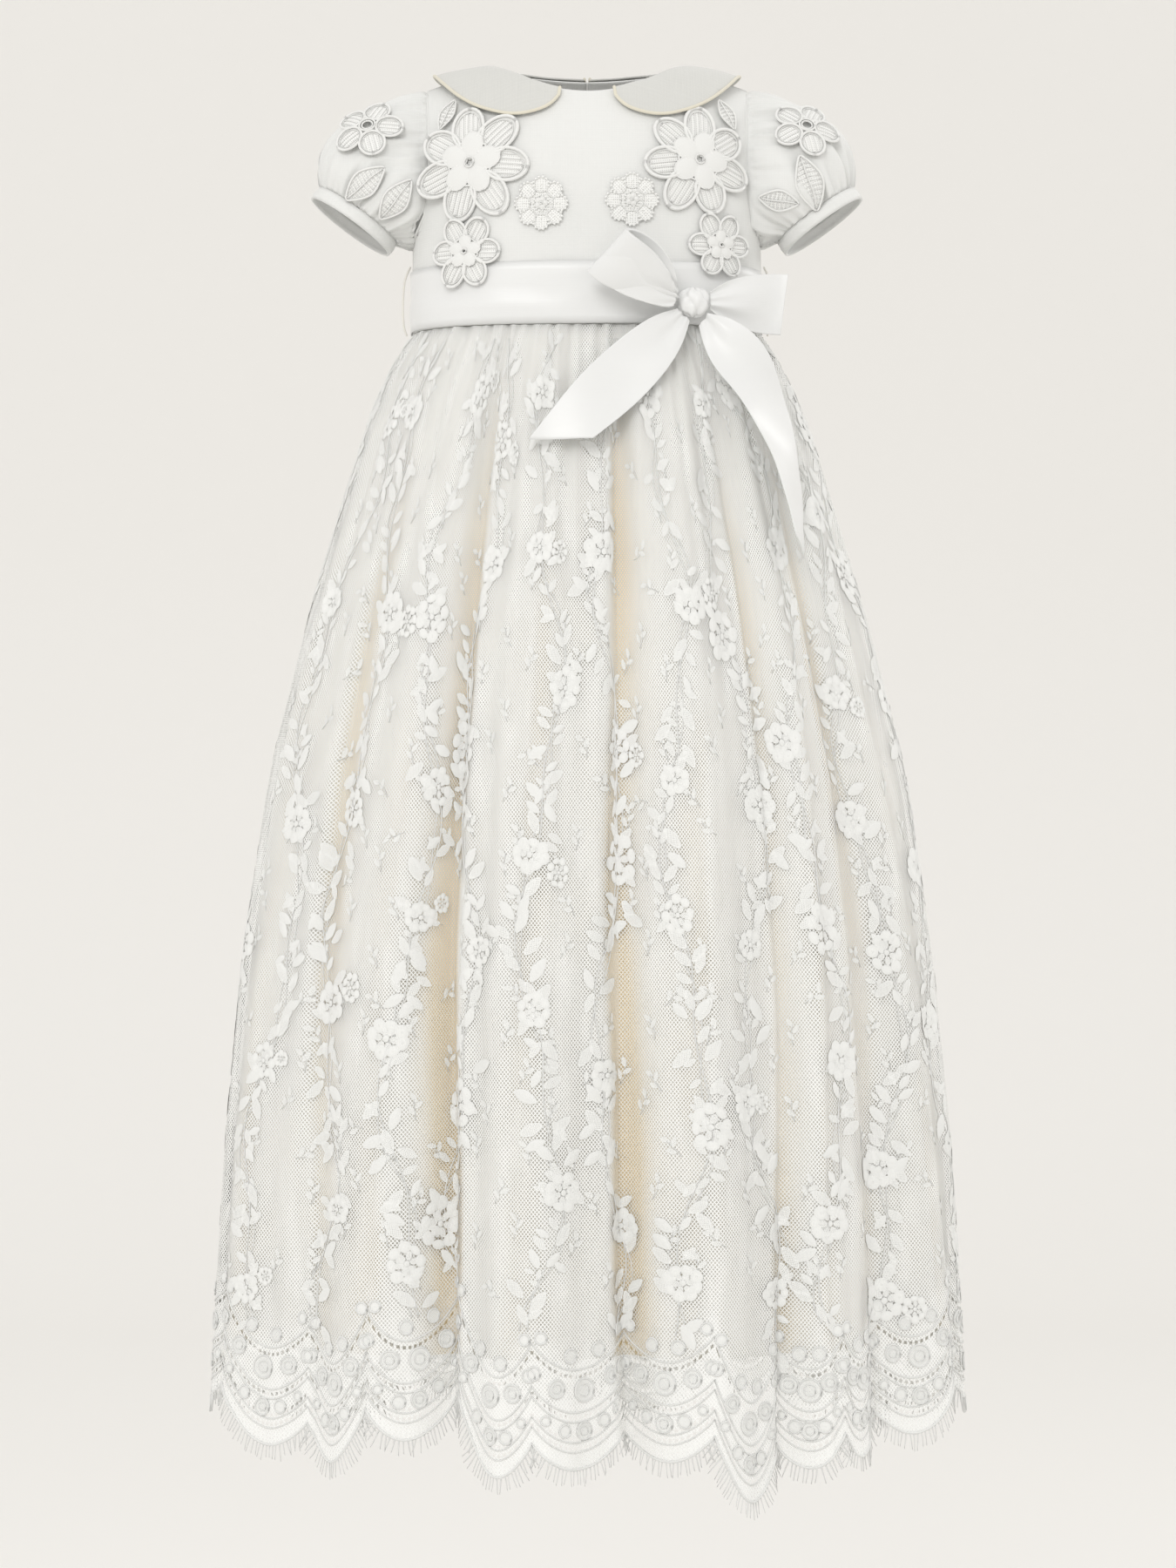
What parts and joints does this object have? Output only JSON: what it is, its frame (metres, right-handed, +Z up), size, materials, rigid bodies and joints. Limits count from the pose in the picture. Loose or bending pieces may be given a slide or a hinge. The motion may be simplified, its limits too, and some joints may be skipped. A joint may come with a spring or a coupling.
{
  "type": "christening gown",
  "caption": "Baby's christening gown with a Peter Pan collar, puff sleeves, sewn-on flowers, a satin sash with a side bow, and a long skirt of gathered lace over a lining.",
  "frame": {"origin": "between the wearer's shoulders, level with the shoulder seams where they meet the sleeves plus 12 mm, on the gown's middle plane", "axes": "+Z up towards the neck, -Y towards the front, +X towards the side with the bow"},
  "size_m": [0.4157, 0.2868, 0.7792],
  "materials": {
    "ivory_cloth": "plain weave cotton",
    "collar_linen": "slubby linen weave",
    "satin_ribbon": "soft satin",
    "lining_cloth": "smooth lining",
    "lace": "net lace",
    "guipure_lace": "corded lace",
    "label_tape": "blank woven tape"
  },
  "bodies": {
    "root": {"bodice_front": "ivory_cloth", "bodice_back_left": "ivory_cloth", "bodice_back_right": "ivory_cloth", "sleeve_left": "ivory_cloth", "sleeve_right": "ivory_cloth", "cuff_left": "ivory_cloth", "cuff_right": "ivory_cloth", "belt_loop_left": "ivory_cloth", "belt_loop_right": "ivory_cloth", "collar_left": "collar_linen", "collar_right": "collar_linen", "sash": "satin_ribbon", "bow_loop_left": "satin_ribbon", "bow_loop_right": "satin_ribbon", "bow_tail_left": "satin_ribbon", "bow_tail_right": "satin_ribbon", "bow_knot": "satin_ribbon", "skirt_lining_front": "lining_cloth", "skirt_lining_back": "lining_cloth", "skirt_lace_front": "lace", "skirt_lace_back": "lace", "lace_fringe_front": "lace", "lace_fringe_back": "lace", "flower_large_left": "guipure_lace", "flower_large_right": "guipure_lace", "flower_small_left": "guipure_lace", "flower_small_right": "guipure_lace", "flower_beaded_left": "guipure_lace", "flower_beaded_right": "guipure_lace", "sleeve_flower_left": "guipure_lace", "sleeve_flower_right": "guipure_lace", "sleeve_leaf_upper_left": "guipure_lace", "sleeve_leaf_upper_right": "guipure_lace", "sleeve_leaf_lower_left": "guipure_lace", "sleeve_leaf_lower_right": "guipure_lace", "shoulder_leaf_left": "guipure_lace", "shoulder_leaf_right": "guipure_lace", "neck_label": "label_tape"}
  },
  "joints": []
}
